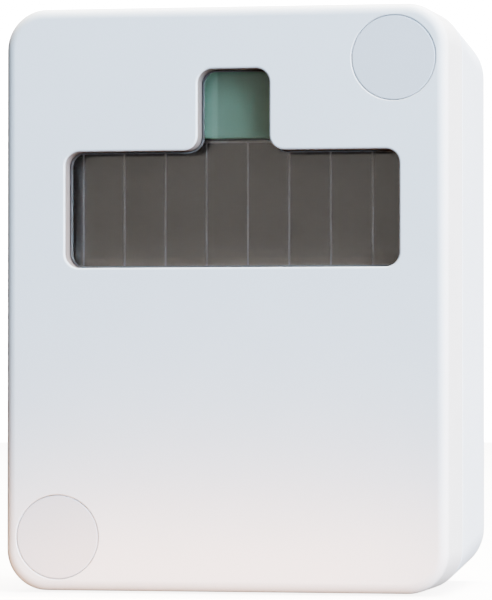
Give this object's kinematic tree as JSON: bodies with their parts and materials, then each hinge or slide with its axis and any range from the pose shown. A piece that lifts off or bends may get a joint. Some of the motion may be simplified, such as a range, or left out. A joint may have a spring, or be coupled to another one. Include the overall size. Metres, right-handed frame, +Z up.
{
  "type": "wall light sensor",
  "caption": "Small two-part outdoor housing that hangs on a wall and holds a solar-powered, battery-backed wireless light sensor behind a T-shaped window.",
  "frame": {"origin": "centre of the flat back face, the face that goes on the wall", "axes": "+Z up, +X to the right as seen from the front, front looks along -Y"},
  "size_m": [0.05, 0.035, 0.065],
  "materials": {
    "housing_white": "fine satin moulding",
    "cap_white": "fine satin moulding",
    "clear_pane": "polished",
    "seal_rubber": "soft matt",
    "foam_grey": "closed-cell foam",
    "screw_steel": "zinc plated",
    "insert_brass": "turned",
    "cell_glass": "polished",
    "cell_film": "dark thin film",
    "back_film": "satin",
    "solder_tin": "bright solder",
    "carrier_black": "satin",
    "filter_green": "polished",
    "board_green": "solder resist",
    "radio_blue": "solder resist",
    "shield_tin": "tin plated",
    "coil_copper": "enamelled wire",
    "capacitor_sleeve": "shrunk sleeve",
    "chip_black": "moulded",
    "chip_tan": "fired",
    "lamp_clear": "lens",
    "switch_black": "moulded",
    "button_white": "moulded",
    "pin_gold": "flash plated",
    "jumper_blue": "moulded",
    "cell_steel": "nickel plated",
    "cell_sleeve": "shrunk film",
    "contact_nickel": "nickel plated",
    "wire_red": "pvc",
    "wire_black": "pvc"
  },
  "bodies": {
    "base": {"rear_housing": "housing_white", "thread_inserts": "insert_brass", "solar_glass": "cell_glass", "solar_strips": "cell_film", "solar_back_film": "back_film", "solar_contact_tabs": "solder_tin", "solar_carrier": "carrier_black", "light_filter": "filter_green", "light_tube": "seal_rubber", "light_sensor": "lamp_clear", "sensor_board": "board_green", "sensor_pins": "pin_gold", "sensor_pin_strip": "carrier_black", "main_board": "board_green", "board_screws": "screw_steel", "radio_board": "radio_blue", "radio_shield": "shield_tin", "helical_antenna": "coil_copper", "storage_capacitor": "capacitor_sleeve", "control_chips": "chip_black", "chip_parts": "chip_tan", "status_light": "lamp_clear", "learn_switch": "switch_black", "jumper_strip": "chip_black", "jumper_pins": "pin_gold", "battery_can": "cell_steel", "battery_sleeve": "cell_sleeve", "battery_holder": "carrier_black", "battery_plus_contact": "contact_nickel", "battery_minus_spring": "contact_nickel", "solar_wire_red": "wire_red", "solar_wire_black": "wire_black"},
    "cover": {"front_cover": "housing_white", "housing_seal": "foam_grey", "window_pane": "clear_pane", "window_gasket": "seal_rubber"},
    "cap_upper": {"screw_cap_upper": "cap_white"},
    "cap_lower": {"screw_cap_lower": "cap_white"},
    "ring_upper": {"screw_ring_upper": "seal_rubber"},
    "ring_lower": {"screw_ring_lower": "seal_rubber"},
    "screw_upper": {"cover_screw_upper": "screw_steel"},
    "screw_lower": {"cover_screw_lower": "screw_steel"},
    "learn_button": {"learn_plunger": "button_white"},
    "jumper_left": {"jumper_cap_left": "jumper_blue"},
    "jumper_right": {"jumper_cap_right": "jumper_blue"}
  },
  "joints": [
    {"name": "cover_lift", "type": "slide", "parent": "base", "child": "cover", "axis": [0, -1, 0], "range_m": [0, 0.04]},
    {"name": "cap_upper_pull", "type": "slide", "parent": "cover", "child": "cap_upper", "axis": [0, -1, 0], "range_m": [0, 0.012]},
    {"name": "cap_lower_pull", "type": "slide", "parent": "cover", "child": "cap_lower", "axis": [0, -1, 0], "range_m": [0, 0.012]},
    {"name": "ring_upper_rise", "type": "slide", "parent": "cover", "child": "ring_upper", "axis": [0, -1, 0], "range_m": [0, 0.0042]},
    {"name": "screw_upper_turn", "type": "hinge", "parent": "ring_upper", "child": "screw_upper", "pos_m": [0.019, -0.027, 0.0265], "axis": [0, -1, 0], "range_deg": [0, 2160]},
    {"name": "ring_lower_rise", "type": "slide", "parent": "cover", "child": "ring_lower", "axis": [0, -1, 0], "range_m": [0, 0.0042]},
    {"name": "screw_lower_turn", "type": "hinge", "parent": "ring_lower", "child": "screw_lower", "pos_m": [-0.019, -0.027, -0.0265], "axis": [0, -1, 0], "range_deg": [0, 2160]},
    {"name": "learn_press", "type": "slide", "parent": "base", "child": "learn_button", "axis": [0, 1, 0], "range_m": [0, 0.00025], "stiffness_N_per_m": 1000, "springref_m": -0.001},
    {"name": "jumper_left_pull", "type": "slide", "parent": "base", "child": "jumper_left", "axis": [0, -1, 0], "range_m": [0, 0.012]},
    {"name": "jumper_right_pull", "type": "slide", "parent": "base", "child": "jumper_right", "axis": [0, -1, 0], "range_m": [0, 0.012]}
  ],
  "couplings": [
    {"joint": "screw_upper_turn", "follows": "ring_upper_rise", "rad_per_m": 8976},
    {"joint": "screw_lower_turn", "follows": "ring_lower_rise", "rad_per_m": 8976}
  ]
}
